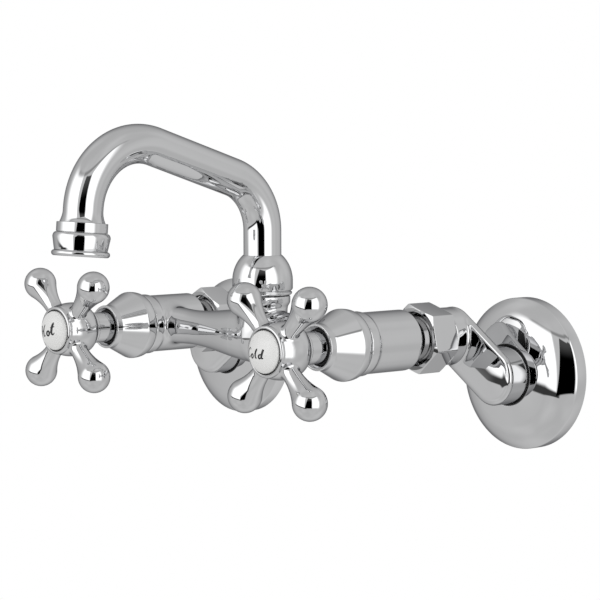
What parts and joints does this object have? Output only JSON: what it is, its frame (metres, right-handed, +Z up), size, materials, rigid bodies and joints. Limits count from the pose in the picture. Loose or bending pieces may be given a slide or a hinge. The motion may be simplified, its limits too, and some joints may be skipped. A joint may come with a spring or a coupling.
{
  "type": "wall-mounted bar faucet",
  "caption": "Wall-mounted two-handle bar faucet with a swivelling high-arc spout, cross handles, swinging S-shaped inlet arms and round wall flanges.",
  "frame": {"origin": "on the finished wall, midway between the two valve axes and level with them", "axes": "+Z up, +Y into the wall, so the spout and the handles stand out along -Y, +X to the viewer's right"},
  "size_m": [0.2718, 0.197, 0.1514],
  "materials": {
    "chrome": "polished",
    "brass": "turned",
    "rubber": "matte",
    "nylon": "matte",
    "ceramic": "lapped",
    "porcelain": "gloss",
    "steel": "turned"
  },
  "bodies": {
    "mixer": {"mixer_body": "chrome", "spout_nut": "chrome", "hot_bonnet": "chrome", "hot_cartridge_body": "brass", "hot_fixed_disc": "ceramic", "hot_seat_washer": "rubber", "hot_union_washer": "rubber", "cold_bonnet": "chrome", "cold_cartridge_body": "brass", "cold_fixed_disc": "ceramic", "cold_seat_washer": "rubber", "cold_union_washer": "rubber"},
    "spout": {"spout_tube": "chrome", "spout_ferrule": "chrome", "spout_o_rings": "rubber", "spout_glide_ring": "nylon"},
    "aerator": {"aerator_shell": "chrome", "aerator_insert": "nylon", "aerator_washer": "rubber"},
    "hot_handle": {"hot_cross_handle": "chrome", "hot_index_button": "porcelain", "hot_handle_screw": "steel", "hot_spindle": "brass", "hot_turning_disc": "ceramic", "hot_spindle_o_ring": "rubber"},
    "hot_arm": {"hot_swing_arm": "chrome", "hot_snap_ring": "steel"},
    "hot_nut": {"hot_union_nut": "chrome"},
    "hot_flange": {"hot_wall_flange": "chrome"},
    "cold_handle": {"cold_cross_handle": "chrome", "cold_index_button": "porcelain", "cold_handle_screw": "steel", "cold_spindle": "brass", "cold_turning_disc": "ceramic", "cold_spindle_o_ring": "rubber"},
    "cold_arm": {"cold_swing_arm": "chrome", "cold_snap_ring": "steel"},
    "cold_nut": {"cold_union_nut": "chrome"},
    "cold_flange": {"cold_wall_flange": "chrome"}
  },
  "joints": [
    {"name": "hot_handle_turn", "type": "hinge", "parent": "mixer", "child": "hot_handle", "pos_m": [-0.0762, -0.1355, 0], "axis": [0, -1, 0], "range_deg": [0, 90]},
    {"name": "hot_arm_swing", "type": "hinge", "parent": "mixer", "child": "hot_arm", "pos_m": [-0.0762, -0.0427, 0], "axis": [0, 1, 0], "range_deg": [-144.8, 35.2]},
    {"name": "hot_union_nut_turn", "type": "hinge", "parent": "mixer", "child": "hot_nut", "pos_m": [-0.0762, -0.045, 0], "axis": [0, 1, 0], "continuous": true},
    {"name": "hot_flange_slide", "type": "slide", "parent": "hot_arm", "child": "hot_flange", "axis": [0, -1, 0], "range_m": [0, 0.003]},
    {"name": "cold_handle_turn", "type": "hinge", "parent": "mixer", "child": "cold_handle", "pos_m": [0.0762, -0.1355, 0], "axis": [0, -1, 0], "range_deg": [-90, 0]},
    {"name": "cold_arm_swing", "type": "hinge", "parent": "mixer", "child": "cold_arm", "pos_m": [0.0762, -0.0427, 0], "axis": [0, 1, 0], "range_deg": [-35.2, 144.8]},
    {"name": "cold_union_nut_turn", "type": "hinge", "parent": "mixer", "child": "cold_nut", "pos_m": [0.0762, -0.045, 0], "axis": [0, 1, 0], "continuous": true},
    {"name": "cold_flange_slide", "type": "slide", "parent": "cold_arm", "child": "cold_flange", "axis": [0, -1, 0], "range_m": [0, 0.003]},
    {"name": "spout_swivel", "type": "hinge", "parent": "mixer", "child": "spout", "pos_m": [0, -0.0766, 0.02], "axis": [0, 0, 1], "range_deg": [-120, 120]},
    {"name": "aerator_turn", "type": "hinge", "parent": "spout", "child": "aerator", "pos_m": [0, -0.18314, 0.05131], "axis": [0, -0.0854, -0.9963], "continuous": true}
  ]
}
